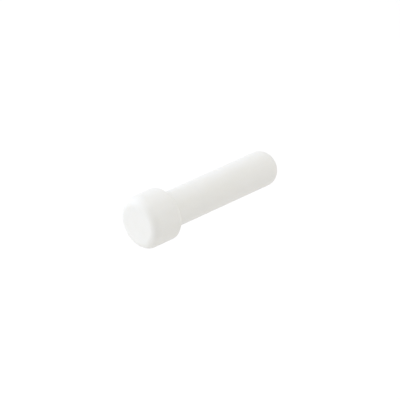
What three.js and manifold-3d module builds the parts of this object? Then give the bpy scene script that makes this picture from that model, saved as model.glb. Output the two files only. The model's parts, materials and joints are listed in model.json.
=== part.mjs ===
// Capped nylon wall anchor: a split sleeve with a collar, opened by a wedge nut that a hex bolt draws
// forward, and a smooth round cap that snaps over the collar and hides the bolt's head.
// Millimetres. The anchor's axis is Y: the cap's face looks along -Y and the tail points along +Y,
// into the wall. The origin is the centre of the collar's back face, which seats on the wall.
import * as THREE from 'three';
import { mergeVertices } from 'three/addons/utils/BufferGeometryUtils.js';
import Module from 'manifold-3d';

const wasm = await Module();
wasm.setup();

// Round outline
const SHANK_R = 5.0; // for a 10 mm drilled hole
const SHANK_LENGTH = 40.0;
const TAIL_ROUND = 4.1;
const HEAD_R = 7.4;
const HEAD_LENGTH = 10.0;
const FACE_ROUND = 2.4; // front rim of the cap
const SKIRT_ROUND = 1.4; // back rim of the cap

// Cap's inside and the collar that it snaps over
const CAP_WALL = 1.2;
const CAP_BORE_R = 6.25;
const BEAD_R = 6.02;
const COLLAR_R = 6.1;
const COLLAR_LAND_R = 5.85;
const COLLAR_LENGTH = 2.2;
const FLANGE_LENGTH = 0.8;

// M5 x 40 hex bolt with its washers
const BOLT_R = 2.45;
const THREAD_R = 2.3; // plain cylinder in place of the thread's ridges
const THREAD_LENGTH = 16.0;
const BOLT_LENGTH = 40.0;
const HEX_ACROSS_FLATS = 8.0;
const HEX_HEIGHT = 3.5;
const FLAT_WASHER = { outer: 5.0, inner: 2.65, thick: 1.0 };
const SPRING_WASHER = { outer: 4.6, inner: 2.6, thick: 1.2 };
const SPRING_SLIT = 0.8;
const STACK_GAP = 0.05;

// Sleeve's bore and its two legs
const BORE_R = 2.7;
const LEG_BORE_R = 2.9;
const HINGE_Y = 13.0;
const HINGE_GAP = 0.2;
const HINGE_WEB = 1.2; // nylon left outside the relief, where each leg bends
const HINGE_RELIEF = 1.4;
const SPLIT_GAP = 0.3;
const CAVITY_END_Y = 37.2;

// Wedge nut: two round faces, each tilted by the same angle, meet over the bolt
const WEDGE_R = 4.2;
const WEDGE_TILT = Math.atan(0.1584);
const WEDGE_FRONT_Y = 27.5;
const WEDGE_LENGTH = 8.0;
const WEDGE_FRONT_HALF = 2.95; // half thickness at its front end
const WEDGE_TRAVEL = 4.8; // six turns of 0.8 mm pitch
const WEDGE_BORE_R = 2.4;
const WEDGE_CLEARANCE = 0.15;
const POCKET_END_CLEARANCE = 0.4;

// The split faces 52 degrees round from straight up.
const SPLIT_ROLL = THREE.MathUtils.degToRad(52);

const SIDES = 48;
const ARC_STEPS = 7;

const washerStackTop = -COLLAR_LENGTH - STACK_GAP;
const springWasherTop = washerStackTop - FLAT_WASHER.thick - STACK_GAP;
const boltSeatY = springWasherTop - SPRING_WASHER.thick - STACK_GAP;

const nylon = new THREE.MeshStandardMaterial({ color: 0xf0efea, roughness: 0.42, metalness: 0 });
const zincPlate = new THREE.MeshStandardMaterial({ color: 0xc3c8cc, roughness: 0.35, metalness: 1 });
const springSteel = new THREE.MeshStandardMaterial({ color: 0x8f9498, roughness: 0.4, metalness: 1 });
const castZinc = new THREE.MeshStandardMaterial({ color: 0xa4a7a8, roughness: 0.5, metalness: 1 });

function point(r, y) {
  return new THREE.Vector2(r, y);
}

// Points along a round corner, angles in degrees from the radial direction.
function arc(centreR, centreY, radius, from, to) {
  const points = [];
  for (let i = 0; i <= ARC_STEPS; i += 1) {
    const angle = THREE.MathUtils.degToRad(from + ((to - from) * i) / ARC_STEPS);
    points.push(point(centreR + radius * Math.cos(angle), centreY + radius * Math.sin(angle)));
  }
  return points;
}

// A turned shape: its outline runs anticlockwise seen with the radius to the right and Y up.
function turned(outline) {
  return new THREE.LatheGeometry(outline, SIDES);
}

// A turned ring closes its outline on itself.
function turnedRing(outline) {
  return turned([...outline, outline[0].clone()]);
}

function solidFrom(geometry) {
  const bare = geometry.clone();
  bare.deleteAttribute('normal');
  bare.deleteAttribute('uv');
  const merged = mergeVertices(bare, 1e-5);
  return new wasm.Manifold(new wasm.Mesh({
    numProp: 3,
    vertProperties: new Float32Array(merged.attributes.position.array),
    triVerts: new Uint32Array(merged.index.array),
  }));
}

function geometryFrom(solid) {
  const mesh = solid.getMesh();
  const geometry = new THREE.BufferGeometry();
  geometry.setAttribute('position', new THREE.BufferAttribute(mesh.vertProperties, 3));
  geometry.setIndex(new THREE.BufferAttribute(mesh.triVerts, 1));
  geometry.computeVertexNormals();
  return geometry;
}

function piece(name, geometry, material) {
  const mesh = new THREE.Mesh(geometry, material);
  mesh.name = name;
  return mesh;
}

// A plain round rod along Y between two heights, for cutting and joining.
function rod(radius, fromY, toY) {
  return solidFrom(turned([point(0, fromY), point(radius, fromY), point(radius, toY), point(0, toY)]));
}

// Smooth closed cap: a flat face, rounded rims and a thin skirt with a snap bead inside.
function coverCap() {
  const roundAngle = THREE.MathUtils.radToDeg(Math.acos((CAP_BORE_R - HEAD_R + SKIRT_ROUND) / SKIRT_ROUND));
  const innerRound = FACE_ROUND - CAP_WALL;
  const ceilingY = -HEAD_LENGTH + CAP_WALL;
  const outline = [
    point(0, -HEAD_LENGTH),
    ...arc(HEAD_R - FACE_ROUND, -HEAD_LENGTH + FACE_ROUND, FACE_ROUND, -90, 0),
    ...arc(HEAD_R - SKIRT_ROUND, -SKIRT_ROUND, SKIRT_ROUND, 0, roundAngle),
    point(CAP_BORE_R, -FLANGE_LENGTH - 0.1),
    point(BEAD_R, -FLANGE_LENGTH - 0.2),
    point(BEAD_R, -FLANGE_LENGTH - 0.5),
    point(CAP_BORE_R, -FLANGE_LENGTH - 0.7),
    ...arc(CAP_BORE_R - innerRound, ceilingY + innerRound, innerRound, 0, -90),
    point(0, ceilingY),
  ];
  return piece('cover_cap', turned(outline), nylon);
}

// Front of the sleeve: the collar that seats on the wall and the tube that the legs grow from.
function anchorSleeve() {
  const bevel = 0.25;
  const outline = [
    point(BORE_R + bevel, -COLLAR_LENGTH),
    point(COLLAR_LAND_R - bevel, -COLLAR_LENGTH),
    point(COLLAR_LAND_R, -COLLAR_LENGTH + bevel),
    point(COLLAR_LAND_R, -FLANGE_LENGTH),
    point(COLLAR_R, -FLANGE_LENGTH),
    point(COLLAR_R, 0),
    point(SHANK_R, 0),
    point(SHANK_R, HINGE_Y),
    point(BORE_R, HINGE_Y),
    point(BORE_R, -COLLAR_LENGTH + bevel),
  ];
  return piece('anchor_sleeve', turnedRing(outline), nylon);
}

// A rod with its axis tilted in the YZ plane, so that its top reaches `half` above the anchor's axis
// at the wedge's front and rises towards the tail. The wedge's faces and the legs' pockets share it.
function tiltedRod(radius, half, tilt) {
  const reach = 40;
  const rodGeometry = new THREE.CylinderGeometry(radius, radius, reach, SIDES);
  rodGeometry.rotateX(tilt);
  rodGeometry.translate(0, WEDGE_FRONT_Y, half - radius / Math.cos(tilt));
  return solidFrom(rodGeometry);
}

// One half of the split tail. Its outside is the plain round end; inside are the bolt's bore, the
// relief that leaves a thin web to bend at, and the tilted pocket that the wedge slides in.
function sleeveLeg() {
  const rootY = HINGE_Y + HINGE_GAP;
  const outside = solidFrom(turned([
    point(0, rootY),
    point(SHANK_R, rootY),
    ...arc(SHANK_R - TAIL_ROUND, SHANK_LENGTH - TAIL_ROUND, TAIL_ROUND, 0, 90),
    point(0, SHANK_LENGTH),
  ]));
  const pocketFront = WEDGE_FRONT_Y - WEDGE_TRAVEL - POCKET_END_CLEARANCE;
  const pocketBack = WEDGE_FRONT_Y + WEDGE_LENGTH + POCKET_END_CLEARANCE;
  const pocket = tiltedRod(WEDGE_R + WEDGE_CLEARANCE, WEDGE_FRONT_HALF + WEDGE_CLEARANCE, WEDGE_TILT)
    .intersect(rod(SHANK_R, pocketFront, pocketBack));
  const half = new THREE.BoxGeometry(4 * SHANK_R, 2 * SHANK_LENGTH, 2 * SHANK_R);
  half.translate(0, SHANK_LENGTH / 2, SHANK_R + SPLIT_GAP / 2);
  const leg = outside
    .subtract(rod(LEG_BORE_R, 0, CAVITY_END_Y))
    .subtract(rod(SHANK_R - HINGE_WEB, 0, rootY + HINGE_RELIEF))
    .subtract(pocket)
    .intersect(solidFrom(half));
  return geometryFrom(leg);
}

function legs() {
  const upper = piece('leg_upper', sleeveLeg(), nylon);
  const lower = piece('leg_lower', sleeveLeg(), nylon);
  lower.rotation.y = Math.PI;
  return [upper, lower];
}

// Wedge nut: where two tilted rods cross, so it's round at the back and narrows towards the head.
function wedgeNut() {
  const lower = tiltedRod(WEDGE_R, WEDGE_FRONT_HALF, WEDGE_TILT);
  const upper = lower.rotate([0, 180, 0]);
  const nut = lower
    .intersect(upper)
    .intersect(rod(SHANK_R, WEDGE_FRONT_Y, WEDGE_FRONT_Y + WEDGE_LENGTH))
    .subtract(rod(WEDGE_BORE_R, 0, SHANK_LENGTH));
  return piece('wedge_nut', geometryFrom(nut), castZinc);
}

// Hex bolt: the head's top corners are turned to a cone, as on a forged bolt.
function hexBolt() {
  const cornerR = HEX_ACROSS_FLATS / Math.sqrt(3);
  const hex = new THREE.CylinderGeometry(cornerR, cornerR, HEX_HEIGHT, 6);
  hex.translate(0, boltSeatY - HEX_HEIGHT / 2, 0);
  const flatR = HEX_ACROSS_FLATS / 2;
  const topY = boltSeatY - HEX_HEIGHT;
  const crown = turned([
    point(0, topY),
    point(flatR - 0.2, topY),
    point(cornerR, topY + 0.5),
    point(cornerR, boltSeatY),
    point(0, boltSeatY),
  ]);
  const tipY = boltSeatY + BOLT_LENGTH;
  const shank = turned([
    point(0, boltSeatY - 1),
    point(BOLT_R, boltSeatY - 1),
    point(BOLT_R, tipY - THREAD_LENGTH),
    point(THREAD_R, tipY - THREAD_LENGTH + 0.3),
    point(THREAD_R, tipY - 0.6),
    point(THREAD_R - 0.6, tipY),
    point(0, tipY),
  ]);
  const bolt = solidFrom(hex).intersect(solidFrom(crown)).add(solidFrom(shank));
  return piece('hex_bolt', geometryFrom(bolt), zincPlate);
}

function washerRing(size, topY) {
  return turnedRing([
    point(size.inner, topY - size.thick),
    point(size.outer, topY - size.thick),
    point(size.outer, topY),
    point(size.inner, topY),
  ]);
}

function flatWasher() {
  return piece('flat_washer', washerRing(FLAT_WASHER, washerStackTop), zincPlate);
}

// Split ring that keeps the bolt tight, drawn flat as it lies under the head.
function springWasher() {
  const slit = new THREE.BoxGeometry(2 * SPRING_WASHER.outer, 4 * SPRING_WASHER.thick, SPRING_SLIT);
  slit.translate(SPRING_WASHER.outer, springWasherTop, 0);
  const ring = solidFrom(washerRing(SPRING_WASHER, springWasherTop)).subtract(solidFrom(slit));
  return piece('spring_washer', geometryFrom(ring), springSteel);
}

const anchor = new THREE.Group();
anchor.add(coverCap(), hexBolt(), springWasher(), flatWasher(), anchorSleeve(), ...legs(), wedgeNut());
anchor.rotation.y = SPLIT_ROLL;

export default anchor;
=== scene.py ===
# Capped nylon wall anchor: a split nylon sleeve, a wedge nut in its tail, a hex bolt with two washers
# that draws the nut forward, and a smooth snap cap over the bolt's head. The axis is Y, tail to +Y.
import json
import math

import bmesh
import bpy
from mathutils import Matrix, Vector


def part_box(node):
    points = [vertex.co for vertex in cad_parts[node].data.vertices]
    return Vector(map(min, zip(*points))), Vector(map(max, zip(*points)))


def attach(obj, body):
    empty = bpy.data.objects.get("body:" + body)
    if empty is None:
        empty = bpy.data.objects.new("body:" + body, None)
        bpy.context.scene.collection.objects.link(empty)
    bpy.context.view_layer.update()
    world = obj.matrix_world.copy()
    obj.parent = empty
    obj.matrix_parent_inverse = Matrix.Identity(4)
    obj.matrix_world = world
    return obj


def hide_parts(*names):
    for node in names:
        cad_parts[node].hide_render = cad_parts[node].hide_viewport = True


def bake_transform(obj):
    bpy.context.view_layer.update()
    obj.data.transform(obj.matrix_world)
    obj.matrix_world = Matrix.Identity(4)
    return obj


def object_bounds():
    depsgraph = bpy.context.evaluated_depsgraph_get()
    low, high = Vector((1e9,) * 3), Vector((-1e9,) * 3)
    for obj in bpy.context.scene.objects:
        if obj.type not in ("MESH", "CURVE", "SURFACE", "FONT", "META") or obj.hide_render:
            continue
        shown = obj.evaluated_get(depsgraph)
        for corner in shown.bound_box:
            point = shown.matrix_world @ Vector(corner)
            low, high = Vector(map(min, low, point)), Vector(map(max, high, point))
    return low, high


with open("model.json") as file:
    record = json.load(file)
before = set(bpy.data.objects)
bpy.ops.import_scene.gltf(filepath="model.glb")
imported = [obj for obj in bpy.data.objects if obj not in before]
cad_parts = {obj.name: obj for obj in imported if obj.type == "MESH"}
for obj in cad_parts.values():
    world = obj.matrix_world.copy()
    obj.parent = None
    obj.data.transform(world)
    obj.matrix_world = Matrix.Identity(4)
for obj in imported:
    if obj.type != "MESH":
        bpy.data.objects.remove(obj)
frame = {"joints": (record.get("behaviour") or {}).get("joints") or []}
cad_box = [list(corner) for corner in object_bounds()]


# Sleeve front: the collar that seats on the wall and the plain tube behind it. One injection
# moulding in white nylon with the two legs, which grow from its back end. The collar's front land
# is what the cap snaps over, and its flange stops the cap.
MM = 0.001
ROUND_STEPS = 160
WELD = 1e-4  # points nearer than this, in millimetres, become one


def arc(centre_r, centre_y, radius, start, end, steps):
    """Points (radius, y) round a corner, with angles in degrees from the radial direction."""
    angles = [math.radians(start + (end - start) * i / steps) for i in range(steps + 1)]
    return [(centre_r + radius * math.cos(a), centre_y + radius * math.sin(a)) for a in angles]


def turned(outline, closed=False):
    """A solid in millimetres: an outline of (radius, y) points spun round the Y axis."""
    bm = bmesh.new()
    verts = [bm.verts.new((r, y, 0)) for r, y in outline]
    pairs = list(zip(verts, verts[1:]))
    if closed:
        pairs.append((verts[-1], verts[0]))
    edges = [bm.edges.new(pair) for pair in pairs]
    bmesh.ops.spin(bm, geom=verts + edges, cent=(0, 0, 0), axis=(0, 1, 0), angle=math.tau,
                   steps=ROUND_STEPS, use_merge=True)
    bmesh.ops.remove_doubles(bm, verts=bm.verts, dist=WELD)
    bmesh.ops.recalc_face_normals(bm, faces=bm.faces)
    return bm


def made_object(name, bm, material, sharp=35):
    """An object at the origin from a bmesh in millimetres, smooth but for its sharp edges."""
    bmesh.ops.scale(bm, vec=(MM, MM, MM), verts=bm.verts)
    mesh = bpy.data.meshes.new(name)
    bm.to_mesh(mesh)
    bm.free()
    mesh.shade_smooth()
    mesh.set_sharp_from_angle(angle=math.radians(sharp))
    mesh.materials.append(material)
    made = bpy.data.objects.new(name, mesh)
    bpy.context.collection.objects.link(made)
    return made


def linear(hex_colour):
    """An sRGB hex colour as the linear colour that a shader takes."""
    parts = [int(hex_colour[i:i + 2], 16) / 255 for i in (1, 3, 5)]
    return [c / 12.92 if c <= 0.04045 else ((c + 0.055) / 1.055) ** 2.4 for c in parts] + [1.0]


def add(tree, kind, inputs, **settings):
    """Adds a shader node; its inputs are plain values or the outputs that feed them."""
    made = tree.nodes.new("ShaderNode" + kind)
    for name, value in settings.items():
        setattr(made, name, value)
    for name, value in inputs.items():
        if isinstance(value, bpy.types.NodeSocket):
            tree.links.new(value, made.inputs[name])
        else:
            made.inputs[name].default_value = value
    return made


def started_material(name):
    """A new material, its node tree, its Principled shader and its Object coordinates."""
    material = bpy.data.materials.new(name)
    material.use_nodes = True
    tree = material.node_tree
    place = add(tree, "TexCoord", {}).outputs["Object"]
    return material, tree, tree.nodes["Principled BSDF"], place


def moulded_nylon():
    """Nylon 6, injection moulded in a fine satin tool: warm white, slightly translucent, soft gloss."""
    material, tree, shader, place = started_material("moulded_nylon_6")
    # Faint cloudiness from the melt's flow, a few millimetres across and drawn out along the axis.
    flow = add(tree, "Mapping", {"Vector": place, "Scale": (1.0, 0.35, 1.0)})
    cloud = add(tree, "TexNoise", {"Vector": flow.outputs["Vector"], "Scale": 1 / (3 * MM), "Detail": 3.0})
    tint = add(tree, "ValToRGB", {"Fac": cloud.outputs["Fac"]})
    tint.color_ramp.elements[0].position = 0.3
    tint.color_ramp.elements[0].color = linear("#DFDED9")
    tint.color_ramp.elements[1].position = 0.7
    tint.color_ramp.elements[1].color = linear("#E1E0DC")
    tree.links.new(tint.outputs["Color"], shader.inputs["Base Color"])
    # The tool's spark-eroded grain is about 0.05 mm; it is drawn at 0.3 mm so that it shows at all.
    grain = add(tree, "TexNoise", {"Vector": place, "Scale": 1 / (0.3 * MM), "Detail": 2.0})
    gloss = add(tree, "MapRange", {"Value": grain.outputs["Fac"], "To Min": 0.45, "To Max": 0.57})
    tree.links.new(gloss.outputs["Result"], shader.inputs["Roughness"])
    relief = add(tree, "Bump", {"Height": grain.outputs["Fac"], "Distance": 0.004 * MM, "Strength": 0.6})
    tree.links.new(relief.outputs["Normal"], shader.inputs["Normal"])
    shader.inputs["IOR"].default_value = 1.53
    shader.inputs["Specular IOR Level"].default_value = 0.3
    shader.inputs["Subsurface Weight"].default_value = 0.15
    shader.inputs["Subsurface Radius"].default_value = (1.0, 0.9, 0.75)
    shader.inputs["Subsurface Scale"].default_value = 0.6 * MM
    return material


nylon = moulded_nylon()
SHANK_RADIUS = 5.0
COLLAR_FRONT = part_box("anchor_sleeve")[0].y / MM
FLANGE_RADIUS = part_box("anchor_sleeve")[1].z / MM
LAND_RADIUS = 5.85
LAND_ROUND = 0.25
LAND_FILLET = 0.05
FLANGE_THICKNESS = 0.8
FLANGE_ROUND = 0.08
SHANK_FILLET = 0.15
BORE_RADIUS = 2.7
BORE_CHAMFER = 0.3
LEG_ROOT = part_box("anchor_sleeve")[1].y / MM
BEND_LENGTH = 3.0  # the legs' skins start this far in front of the hinge and carry extra rings over twice this length round it
SKIN_START = LEG_ROOT - BEND_LENGTH

sleeve_outline = [
    (BORE_RADIUS + BORE_CHAMFER, COLLAR_FRONT),
    *arc(LAND_RADIUS - LAND_ROUND, COLLAR_FRONT + LAND_ROUND, LAND_ROUND, -90, 0, 6),
    (LAND_RADIUS, -FLANGE_THICKNESS - LAND_FILLET),
    (LAND_RADIUS + LAND_FILLET, -FLANGE_THICKNESS),
    *arc(FLANGE_RADIUS - FLANGE_ROUND, -FLANGE_THICKNESS + FLANGE_ROUND, FLANGE_ROUND, -90, 0, 4),
    *arc(FLANGE_RADIUS - FLANGE_ROUND, -FLANGE_ROUND, FLANGE_ROUND, 0, 90, 4),
    *arc(SHANK_RADIUS + SHANK_FILLET, SHANK_FILLET, SHANK_FILLET, 270, 180, 5),
    (SHANK_RADIUS, SKIN_START),
    (BORE_RADIUS, SKIN_START),
    (BORE_RADIUS, COLLAR_FRONT + BORE_CHAMFER),
]
sleeve = made_object("sleeve_collar", turned(sleeve_outline, closed=True), nylon)
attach(sleeve, "sleeve")
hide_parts("anchor_sleeve")


# Sleeve legs: the split back half of the same moulding, shut to a hairline as moulded. Each leg
# bends at a thin web near its root; inside, a tilted round pocket holds the wedge nut.
def softened(bm, width, sharper_than=40, wanted=lambda edge: True):
    """Rounds the edges that turn by more than an angle, as a tool's radius or a tumbler leaves them."""
    limit = math.radians(sharper_than)
    sharp = [e for e in bm.edges if e.is_manifold and e.calc_face_angle(0) > limit and wanted(e)]
    bmesh.ops.bevel(bm, geom=sharp, offset=width, segments=2, profile=0.5, affect="EDGES",
                    material=-1, clamp_overlap=True)
    return bm


hinge = next(joint for joint in frame["joints"] if joint["name"] == "upper_leg_open")
SPLIT_ROLL = math.atan2(-hinge["axis"][2], hinge["axis"][0])
TAIL_END = cad_box[1][1] / MM
TAIL_ROUND = 4.1
LEG_BORE_RADIUS = 2.9
RELIEF_RADIUS = 3.8  # the groove inside the root that thins the web
RELIEF_FRONT = LEG_ROOT + 0.4
RELIEF_BACK = LEG_ROOT + 1.4
CAVITY_END = 37.2
CAVITY_ROUND = 0.9
HAIRLINE = 0.05
SPLIT_ROUND = 0.06
WEDGE_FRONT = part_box("wedge_nut")[0].y / MM
WEDGE_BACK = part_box("wedge_nut")[1].y / MM
WEDGE_RADIUS = 4.2
WEDGE_REACH = 2.95  # half its thickness at the front
WEDGE_TILT = math.atan(0.1584)
WEDGE_TRAVEL = 4.8
POCKET_GAP = 0.15
POCKET_END_GAP = 0.4
POCKET_FRONT = WEDGE_FRONT - WEDGE_TRAVEL - POCKET_END_GAP
POCKET_BACK = WEDGE_BACK + POCKET_END_GAP
AT_PLACE = 0.01  # how near, in millimetres, a point counts as being at a place


def spaced(start, end, count):
    """Evenly spaced values from start to end, both included."""
    return [start + (end - start) * i / count for i in range(count + 1)]


def wedge_radius(across, up, y, gap=0.0):
    """How far the wedge's round tilted face lies from the axis, towards (across, up), at y."""
    radius = WEDGE_RADIUS + gap
    middle_up = WEDGE_REACH + gap - radius / math.cos(WEDGE_TILT) + (y - WEDGE_FRONT) * math.tan(WEDGE_TILT)
    squash = math.cos(WEDGE_TILT) ** 2
    length = math.hypot(across, up)
    a = (across / length) ** 2 + squash * (up / length) ** 2
    b = abs(up / length) * squash * middle_up
    return (b + math.sqrt(b * b - a * (squash * middle_up ** 2 - radius ** 2))) / a


def set_radius(vert, radius):
    """Moves a vertex straight out or in to a distance from the Y axis."""
    factor = radius / math.hypot(vert.co.x, vert.co.z)
    vert.co.x *= factor
    vert.co.z *= factor


leg_outline = [
    (BORE_RADIUS, SKIN_START),
    *[(SHANK_RADIUS, y) for y in spaced(SKIN_START, LEG_ROOT + BEND_LENGTH, 12)],
    *arc(SHANK_RADIUS - TAIL_ROUND, TAIL_END - TAIL_ROUND, TAIL_ROUND, 0, 90, 24),
    (0, TAIL_END),
    (0, CAVITY_END),
    *arc(LEG_BORE_RADIUS - CAVITY_ROUND, CAVITY_END - CAVITY_ROUND, CAVITY_ROUND, 90, 0, 6),
    *[(LEG_BORE_RADIUS, y) for y in spaced(POCKET_BACK, POCKET_FRONT, 12)],
    (LEG_BORE_RADIUS, RELIEF_BACK + 0.5),
    (RELIEF_RADIUS, RELIEF_BACK),
    (RELIEF_RADIUS, RELIEF_FRONT),
    (LEG_BORE_RADIUS, LEG_ROOT),
    (BORE_RADIUS, LEG_ROOT),
]


def leg(turn):
    """One half of the split tail: its section spun half way round, then turned to where it lies."""
    bm = bmesh.new()
    section = bm.faces.new([bm.verts.new((r, y, 0)) for r, y in leg_outline])
    bmesh.ops.spin(bm, geom=[section], cent=(0, 0, 0), axis=(0, 1, 0), angle=-math.pi,
                   steps=ROUND_STEPS // 2, use_merge=False)
    bmesh.ops.remove_doubles(bm, verts=bm.verts, dist=WELD)
    bmesh.ops.recalc_face_normals(bm, faces=bm.faces)
    for vert in bm.verts:
        in_bore = AT_PLACE < math.hypot(vert.co.x, vert.co.z) < LEG_BORE_RADIUS + AT_PLACE
        if in_bore and POCKET_FRONT - AT_PLACE < vert.co.y < POCKET_BACK + AT_PLACE:
            pocket = wedge_radius(vert.co.x, vert.co.z, vert.co.y, POCKET_GAP)
            set_radius(vert, max(LEG_BORE_RADIUS, pocket))

    def on_split_outside(edge):
        """Whether an edge lies where the split meets the leg's outside, past the web."""
        return all(abs(v.co.z) < AT_PLACE and v.co.y > LEG_ROOT + 0.2 and abs(v.co.x) > 1
                   and (abs(v.co.x) > SHANK_RADIUS - 0.3 or v.co.y > CAVITY_END + 0.2)
                   for v in edge.verts)

    softened(bm, SPLIT_ROUND, wanted=on_split_outside)
    for vert in bm.verts:
        vert.co.z = max(vert.co.z, HAIRLINE / 2)
    bmesh.ops.rotate(bm, cent=(0, 0, 0), matrix=Matrix.Rotation(turn, 3, "Y"), verts=bm.verts)
    return bm


for side, turn in (("upper", SPLIT_ROLL), ("lower", SPLIT_ROLL + math.pi)):
    skin = made_object(f"sleeve_leg_{side}", leg(turn), nylon)
    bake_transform(skin)
    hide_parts(f"leg_{side}")


# Wedge nut: die-cast zinc alloy, tapped M5; the tapped hole is drawn plain, as the bolt fills it.
# Two round faces tilted alike cross over the bolt, so the nut slides between the legs without
# turning and spreads them as it comes forward.
def cast_zinc():
    """Zinc alloy as cast: dull grey in cloudy lighter and darker blotches, faintly pebbled by the die."""
    material, tree, shader, place = started_material("die_cast_zinc")
    # Cloudy grey blotches about 1.5 mm across, under a pebbled skin about 0.25 mm from bump to bump.
    blotch = add(tree, "TexNoise", {"Vector": place, "Scale": 1 / (1.5 * MM), "Detail": 4.0})
    tint = add(tree, "ValToRGB", {"Fac": blotch.outputs["Fac"]})
    tint.color_ramp.elements[0].position = 0.35
    tint.color_ramp.elements[0].color = linear("#9A9D9E")
    tint.color_ramp.elements[1].position = 0.7
    tint.color_ramp.elements[1].color = linear("#B4B7B8")
    tree.links.new(tint.outputs["Color"], shader.inputs["Base Color"])
    pebble = add(tree, "TexNoise", {"Vector": place, "Scale": 1 / (0.25 * MM), "Detail": 3.0})
    gloss = add(tree, "MapRange", {"Value": pebble.outputs["Fac"], "To Min": 0.42, "To Max": 0.62})
    tree.links.new(gloss.outputs["Result"], shader.inputs["Roughness"])
    relief = add(tree, "Bump", {"Height": pebble.outputs["Fac"], "Distance": 0.02 * MM, "Strength": 0.7})
    tree.links.new(relief.outputs["Normal"], shader.inputs["Normal"])
    shader.inputs["Metallic"].default_value = 1.0
    return material


NUT_BORE_RADIUS = 2.5
NUT_CHAMFER = 0.15
NUT_CORNER = 0.12
nut_outline = [
    (NUT_BORE_RADIUS + NUT_CHAMFER, WEDGE_FRONT),
    *arc(WEDGE_RADIUS - NUT_CORNER, WEDGE_FRONT + NUT_CORNER, NUT_CORNER, -90, 0, 3),
    *[(WEDGE_RADIUS, y) for y in spaced(WEDGE_FRONT + 1, WEDGE_BACK - 1, 4)],
    *arc(WEDGE_RADIUS - NUT_CORNER, WEDGE_BACK - NUT_CORNER, NUT_CORNER, 0, 90, 3),
    (NUT_BORE_RADIUS + NUT_CHAMFER, WEDGE_BACK),
    (NUT_BORE_RADIUS, WEDGE_BACK - NUT_CHAMFER),
    (NUT_BORE_RADIUS, WEDGE_FRONT + NUT_CHAMFER),
]
nut_body = turned(nut_outline, closed=True)
for vert in nut_body.verts:
    from_axis = math.hypot(vert.co.x, vert.co.z)
    if from_axis > WEDGE_RADIUS - 2 * NUT_CORNER:
        inset = WEDGE_RADIUS - from_axis
        set_radius(vert, wedge_radius(vert.co.x, vert.co.z, vert.co.y) - inset)
roll = Matrix.Rotation(SPLIT_ROLL, 3, "Y")
bmesh.ops.rotate(nut_body, cent=(0, 0, 0), matrix=roll, verts=nut_body.verts)
nut = made_object("wedge_nut_casting", nut_body, cast_zinc(), sharp=30)
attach(nut, "nut")
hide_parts("wedge_nut")


# Flat washer: punched from steel strip and zinc plated, so one face has a rolled edge and the
# other a crisp one. It keeps the spring washer and the head out of the nylon.
def zinc_plate(name, tint_low, tint_high, dull, bright):
    """Bright zinc plate: a cool silver with a faint blue to straw cast and fine tumbling scuffs."""
    material, tree, shader, place = started_material(name)
    # The cast drifts from blue to straw over about 4 mm.
    cast = add(tree, "TexNoise", {"Vector": place, "Scale": 1 / (4 * MM), "Detail": 2.0})
    tint = add(tree, "ValToRGB", {"Fac": cast.outputs["Fac"]})
    tint.color_ramp.elements[0].position = 0.35
    tint.color_ramp.elements[0].color = linear(tint_low)
    tint.color_ramp.elements[1].position = 0.65
    tint.color_ramp.elements[1].color = linear(tint_high)
    tree.links.new(tint.outputs["Color"], shader.inputs["Base Color"])
    # Scuffs from barrel plating run every way; they are drawn about 0.15 mm wide.
    streak = add(tree, "Mapping", {"Vector": place, "Scale": (1.0, 5.0, 1.6), "Rotation": (0.4, 0.2, 0.9)})
    scuff = add(tree, "TexNoise", {"Vector": streak.outputs["Vector"], "Scale": 1 / (0.7 * MM),
                                   "Detail": 5.0})
    gloss = add(tree, "MapRange", {"Value": scuff.outputs["Fac"], "From Min": 0.3, "From Max": 0.7,
                                   "To Min": bright, "To Max": dull})
    tree.links.new(gloss.outputs["Result"], shader.inputs["Roughness"])
    relief = add(tree, "Bump", {"Height": scuff.outputs["Fac"], "Distance": 0.006 * MM, "Strength": 0.5})
    tree.links.new(relief.outputs["Normal"], shader.inputs["Normal"])
    shader.inputs["Metallic"].default_value = 1.0
    return material


bright_zinc = zinc_plate("bright_zinc_plate", "#BFC8D0", "#D3D2C8", 0.40, 0.26)
WASHER_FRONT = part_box("flat_washer")[0].y / MM
WASHER_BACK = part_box("flat_washer")[1].y / MM
WASHER_OUTER = 5.0
WASHER_INNER = 2.65
ROLLED_RIM = 0.25
CRISP_RIM = 0.05
HOLE_FRONT_ROUND = 0.08
HOLE_BACK_ROUND = 0.12
washer_outline = [
    *arc(WASHER_INNER + HOLE_FRONT_ROUND, WASHER_FRONT + HOLE_FRONT_ROUND, HOLE_FRONT_ROUND, 180, 270, 4),
    *arc(WASHER_OUTER - ROLLED_RIM, WASHER_FRONT + ROLLED_RIM, ROLLED_RIM, -90, 0, 6),
    *arc(WASHER_OUTER - CRISP_RIM, WASHER_BACK - CRISP_RIM, CRISP_RIM, 0, 90, 3),
    *arc(WASHER_INNER + HOLE_BACK_ROUND, WASHER_BACK - HOLE_BACK_ROUND, HOLE_BACK_ROUND, 90, 180, 4),
]
washer = made_object("flat_washer_plated", turned(washer_outline, closed=True), bright_zinc)
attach(washer, "sleeve")
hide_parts("flat_washer")


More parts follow.
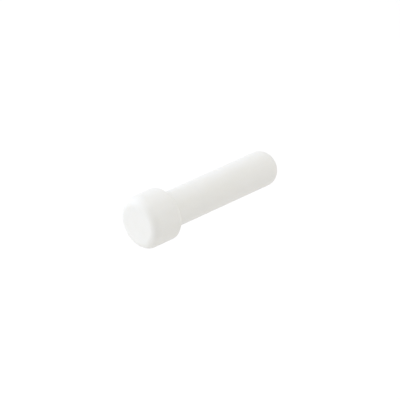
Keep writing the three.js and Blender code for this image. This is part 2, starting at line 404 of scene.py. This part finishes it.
# Spring washer: one coil of square spring wire, cut across at a slant and pressed flat under the
# head. Its sharp slit corners bite, which is what stops the bolt working loose.
SPRING_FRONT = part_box("spring_washer")[0].y / MM
SPRING_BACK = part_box("spring_washer")[1].y / MM
SPRING_OUTER = 4.6
SPRING_INNER = 2.6
SLIT_ANGLE = math.radians(12)
SLANT = math.radians(9)
WIRE_ROUND = 0.07
coil = bmesh.new()
wire_section = [
    (SPRING_INNER, SPRING_FRONT),
    (SPRING_OUTER, SPRING_FRONT),
    (SPRING_OUTER, SPRING_BACK),
    (SPRING_INNER, SPRING_BACK),
]
square = coil.faces.new([coil.verts.new((r, y, 0)) for r, y in wire_section])
bmesh.ops.rotate(coil, cent=(0, 0, 0), matrix=Matrix.Rotation(SLIT_ANGLE / 2, 3, "Y"), verts=coil.verts)
wire = bmesh.ops.spin(coil, geom=[square], cent=(0, 0, 0), axis=(0, 1, 0), angle=math.tau - SLIT_ANGLE,
                      steps=ROUND_STEPS, use_merge=False)
end_face = next(item for item in wire["geom_last"] if isinstance(item, bmesh.types.BMFace))
for face in (square, end_face):
    raised = [v for v in face.verts if v.co.y > (SPRING_FRONT + SPRING_BACK) / 2]
    bmesh.ops.rotate(coil, cent=(0, 0, 0), matrix=Matrix.Rotation(SLANT, 3, "Y"), verts=raised)
bmesh.ops.recalc_face_normals(coil, faces=coil.faces)
softened(coil, WIRE_ROUND, sharper_than=60)
bmesh.ops.rotate(coil, cent=(0, 0, 0), matrix=roll, verts=coil.verts)
spring_zinc = zinc_plate("plated_spring_steel", "#8C9298", "#A3A49F", 0.50, 0.34)
spring = made_object("spring_washer_coil", coil, spring_zinc)
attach(spring, "sleeve")
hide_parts("spring_washer")


# Hex bolt: cold-forged M5 x 40, partly threaded by rolling, then zinc plated. The head's corners
# are chamfered and its top is dished by the forging punch; the thread runs out in under two turns.
def crossed(base, tool, operation):
    """The solid left when a tool is joined to or crossed with a base; both are used up."""
    working = []
    for bm in (base, tool):
        mesh = bpy.data.meshes.new("working")
        bm.to_mesh(mesh)
        bm.free()
        working.append(bpy.data.objects.new("working", mesh))
        bpy.context.collection.objects.link(working[-1])
    modifier = working[0].modifiers.new("cross", "BOOLEAN")
    modifier.operation = operation
    modifier.solver = "EXACT"
    modifier.object = working[1]
    shown = working[0].evaluated_get(bpy.context.evaluated_depsgraph_get())
    result = bmesh.new()
    result.from_mesh(shown.to_mesh())
    bmesh.ops.dissolve_degenerate(result, dist=WELD, edges=result.edges)
    for used in working:
        bpy.data.meshes.remove(used.data)
    return result


HEAD_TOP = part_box("hex_bolt")[0].y / MM
BOLT_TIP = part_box("hex_bolt")[1].y / MM
HEX_HEIGHT = 3.5
BOLT_SEAT = HEAD_TOP + HEX_HEIGHT
HEX_FLAT = 4.0
HEX_CORNER = HEX_FLAT / math.cos(math.pi / 6)
HEX_EDGE_ROUND = 0.12
CROWN_RADIUS = HEX_FLAT - 0.25
CORNER_DROP = 0.5  # how far the crown's chamfer falls to the hexagon's corners
DISH_DEPTH = 0.22
DISH_FLOOR_RADIUS = 2.2
DISH_SLOPE = (2.6, 0.1)  # a point on the dish's side: its radius and its depth
DISH_RIM_RADIUS = 2.85
PAST = 0.2  # how far a crossing tool runs past the piece
PLAIN_SHANK_RADIUS = 2.45
PITCH = 0.8
THREAD_CREST = 2.48
THREAD_ROOT = 2.0
THREAD_LENGTH = 16
THREAD_START = BOLT_TIP - THREAD_LENGTH
THREAD_FLANK = math.radians(30)
THREAD_WELD = 1e-3
CREST_CLEAR = 0.02
RUNOUT_END = THREAD_START + 0.4
TIP_CHAMFER = 0.6
TIP_RADIUS = THREAD_ROOT - 0.15
CORE_RADIUS = THREAD_ROOT - 0.05  # the stem inside the thread, which overlaps it
CORE_END = BOLT_TIP - 0.5
STEPS_PER_TURN = 40

head = bmesh.new()
bmesh.ops.create_cone(head, cap_ends=True, segments=6, radius1=HEX_CORNER, radius2=HEX_CORNER,
                      depth=HEX_HEIGHT)
bmesh.ops.rotate(head, cent=(0, 0, 0), matrix=Matrix.Rotation(-math.pi / 2, 3, "X"), verts=head.verts)
bmesh.ops.translate(head, vec=(0, (HEAD_TOP + BOLT_SEAT) / 2, 0), verts=head.verts)
softened(head, HEX_EDGE_ROUND)
crown = turned([
    (0, HEAD_TOP + DISH_DEPTH),
    (DISH_FLOOR_RADIUS, HEAD_TOP + DISH_DEPTH),
    (DISH_SLOPE[0], HEAD_TOP + DISH_SLOPE[1]),
    (DISH_RIM_RADIUS, HEAD_TOP),
    (CROWN_RADIUS, HEAD_TOP),
    (HEX_CORNER, HEAD_TOP + CORNER_DROP),
    (HEX_CORNER + 2 * PAST, BOLT_SEAT + PAST),
    (0, BOLT_SEAT + PAST),
])
head = crossed(head, crown, "INTERSECT")

# The thread's profile is swept up a right-hand helix, closed at its ends and cut to length.
thread = bmesh.new()
flank = (THREAD_CREST - THREAD_ROOT) * math.tan(THREAD_FLANK)
crest = PITCH / 8
root = PITCH - 2 * flank - crest
sweep_start = THREAD_START - 2 * PITCH
turns = round((BOLT_TIP - sweep_start) / PITCH) + 2
ridge = [
    (THREAD_ROOT, 0),
    (THREAD_ROOT, root),
    (THREAD_CREST, root + flank),
    (THREAD_CREST, root + flank + crest),
    (THREAD_ROOT, PITCH),
]
ridge_verts = [thread.verts.new((r, sweep_start + y, 0)) for r, y in ridge]
ridge_edges = [thread.edges.new(pair) for pair in zip(ridge_verts, ridge_verts[1:])]
bmesh.ops.spin(thread, geom=ridge_verts + ridge_edges, cent=(0, 0, 0), axis=(0, 1, 0),
               dvec=(0, PITCH / STEPS_PER_TURN, 0), angle=math.tau * turns, steps=STEPS_PER_TURN * turns,
               use_merge=False)
bmesh.ops.remove_doubles(thread, verts=thread.verts, dist=THREAD_WELD)
rims = [e for e in thread.edges if e.is_boundary]
caps = bmesh.ops.holes_fill(thread, edges=rims, sides=0)
bmesh.ops.poke(thread, faces=caps["faces"])
bmesh.ops.recalc_face_normals(thread, faces=thread.faces)
runout_and_tip = turned([
    (0, THREAD_START - PITCH),
    (THREAD_ROOT - 0.1, THREAD_START - PITCH),
    (THREAD_CREST + CREST_CLEAR, RUNOUT_END),
    (THREAD_CREST + CREST_CLEAR, BOLT_TIP - TIP_CHAMFER),
    (TIP_RADIUS, BOLT_TIP),
    (0, BOLT_TIP),
])
thread = crossed(thread, runout_and_tip, "INTERSECT")

stem = turned([
    (0, BOLT_SEAT - 1),
    (PLAIN_SHANK_RADIUS, BOLT_SEAT - 1),
    (PLAIN_SHANK_RADIUS, THREAD_START - 0.5),
    (CORE_RADIUS, THREAD_START),
    (CORE_RADIUS, CORE_END),
    (0, CORE_END),
])
bolt_body = crossed(crossed(head, stem, "UNION"), thread, "UNION")
bolt = made_object("hex_bolt_forged", bolt_body, bright_zinc, sharp=28)
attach(bolt, "bolt")
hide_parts("hex_bolt")


# Snap cap: the whole visible head. Moulded in the same nylon as the sleeve, with a flat face, a
# generous front rim and a bead inside its skirt that grips the collar's land. Six ribs inside
# stiffen its wall.
CAP_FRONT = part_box("cover_cap")[0].y / MM
CAP_RADIUS = 7.4
FACE_ROUND = 2.4
FACE_RING = 2.5  # an inner ring of points that keeps the flat face's shading even
SKIRT_ROUND = 1.4
CAP_WALL = 1.2
CAP_BORE = 6.25
BEAD_RADIUS = 6.02
BEAD_ROUND = 0.15
BEAD_BACK = -FLANGE_THICKNESS - 0.1
BEAD_MIDDLE = -FLANGE_THICKNESS - 0.32
BEAD_FRONT = -FLANGE_THICKNESS - 0.7
GATE_RADIUS = 0.9  # the low disc inside the face where the plastic came in
GATE_HEIGHT = 0.15
RIB_COUNT = 6
RIB_DEPTH = 1.0
RIB_LENGTH = 5.9
RIB_WIDTH = 0.6
RIB_ROUND = 0.12
RIB_OUT = CAP_BORE - 0.2  # where a rib's middle lies, out from the axis and back from the ceiling
RIB_BACK = 2.85
skirt_end = math.degrees(math.acos((CAP_BORE - CAP_RADIUS + SKIRT_ROUND) / SKIRT_ROUND))
inner_round = FACE_ROUND - CAP_WALL
ceiling = CAP_FRONT + CAP_WALL
cap_outline = [
    (0, CAP_FRONT),
    (FACE_RING, CAP_FRONT),
    *arc(CAP_RADIUS - FACE_ROUND, CAP_FRONT + FACE_ROUND, FACE_ROUND, -90, 0, 24),
    *arc(CAP_RADIUS - SKIRT_ROUND, -SKIRT_ROUND, SKIRT_ROUND, 0, skirt_end, 16),
    (CAP_BORE, BEAD_BACK),
    *arc(BEAD_RADIUS + BEAD_ROUND, BEAD_MIDDLE, BEAD_ROUND, 120, 240, 6),
    (CAP_BORE, BEAD_FRONT),
    *arc(CAP_BORE - inner_round, ceiling + inner_round, inner_round, 0, -90, 12),
    (GATE_RADIUS + 0.2, ceiling),
    (GATE_RADIUS, ceiling + GATE_HEIGHT),
    (0, ceiling + GATE_HEIGHT),
]
cap_body = turned(cap_outline)
for i in range(RIB_COUNT):
    rib = bmesh.new()
    bmesh.ops.create_cube(rib, size=1.0)
    bmesh.ops.scale(rib, vec=(RIB_DEPTH, RIB_LENGTH, RIB_WIDTH), verts=rib.verts)
    bmesh.ops.translate(rib, vec=(RIB_OUT, ceiling + RIB_BACK, 0), verts=rib.verts)
    softened(rib, RIB_ROUND)
    spread = Matrix.Rotation(math.tau * i / RIB_COUNT, 3, "Y")
    bmesh.ops.rotate(rib, cent=(0, 0, 0), matrix=spread, verts=rib.verts)
    cap_body = crossed(cap_body, rib, "UNION")
cap = made_object("snap_cap", cap_body, nylon)
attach(cap, "cap")
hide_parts("cover_cap")


# Studio: a wide pale sheet well below the anchor, so that no shadow falls near it, in a white tent.
# A cool softbox stands low in front on the left, a dimmer and bluer one high on the left, and a
# neutral one hangs over the tail.
FLOOR_DROP = 90
STUDIO_WIDTH = 6000
TENT_STRENGTH = 0.86
LAMP_DISTANCE = 900
LAMP_SIZE = 600
sheet = bmesh.new()
bmesh.ops.create_grid(sheet, x_segments=1, y_segments=1, size=STUDIO_WIDTH / 2)
bmesh.ops.translate(sheet, vec=(0, 0, -FLOOR_DROP), verts=sheet.verts)
paper, _, paper_shader, _ = started_material("matt_pale_paper")
paper_shader.inputs["Base Color"].default_value = linear("#F1EFEC")
paper_shader.inputs["Roughness"].default_value = 0.9
floor = made_object("studio_floor", sheet, paper)

tent = bpy.data.worlds.new("white_tent")
tent.use_nodes = True
bpy.context.scene.world = tent
tent.node_tree.nodes["Background"].inputs["Color"].default_value = linear("#FFFFFF")
tent.node_tree.nodes["Background"].inputs["Strength"].default_value = TENT_STRENGTH

middle = (Vector(cad_box[0]) + Vector(cad_box[1])) / 2


def direction(azimuth, elevation):
    """The way from the anchor to a place round it: degrees from the cap's face towards +X, and up."""
    turn, lift = math.radians(azimuth), math.radians(elevation)
    return Vector((math.sin(turn) * math.cos(lift), -math.cos(turn) * math.cos(lift), math.sin(lift)))


def softbox(name, azimuth, elevation, watts, tint):
    """A square area lamp that points at the anchor's middle."""
    lamp = bpy.data.lights.new(name, "AREA")
    lamp.shape = "SQUARE"
    lamp.size = LAMP_SIZE * MM
    lamp.energy = watts
    lamp.color = linear(tint)[:3]
    stand = bpy.data.objects.new(name, lamp)
    stand.location = middle + direction(azimuth, elevation) * LAMP_DISTANCE * MM
    stand.rotation_euler = direction(azimuth, elevation).to_track_quat("Z", "Y").to_euler()
    bpy.context.collection.objects.link(stand)


softbox("front_left_softbox", azimuth=315, elevation=12, watts=3.75, tint="#EAF2FF")
softbox("high_left_softbox", azimuth=270, elevation=42, watts=1.4, tint="#CEDAFF")
softbox("back_softbox", azimuth=135, elevation=72, watts=1.85, tint="#FFFFFF")


# Camera: a long lens from the front left and above, as in a catalogue picture.
AZIMUTH = 46.43
ELEVATION = 28.56
CAMERA_DISTANCE = 813.0
LENS = 270
FRAMING_RIGHT = 1.37  # how far right and up of the view's centre the anchor's middle lies
FRAMING_UP = 1.60
SENSOR_WIDTH = 36
back = direction(AZIMUTH, ELEVATION)
right = direction(AZIMUTH + 90, 0)
up = back.cross(right)
lens = bpy.data.cameras.new("catalogue_camera")
lens.lens = LENS
lens.sensor_width = SENSOR_WIDTH
lens.clip_start = 0.01
camera = bpy.data.objects.new("catalogue_camera", lens)
camera.location = middle + (back * CAMERA_DISTANCE - right * FRAMING_RIGHT - up * FRAMING_UP) * MM
camera.rotation_euler = back.to_track_quat("Z", "Y").to_euler()
bpy.context.collection.objects.link(camera)
bpy.context.scene.camera = camera
bpy.context.scene.view_settings.view_transform = "Standard"
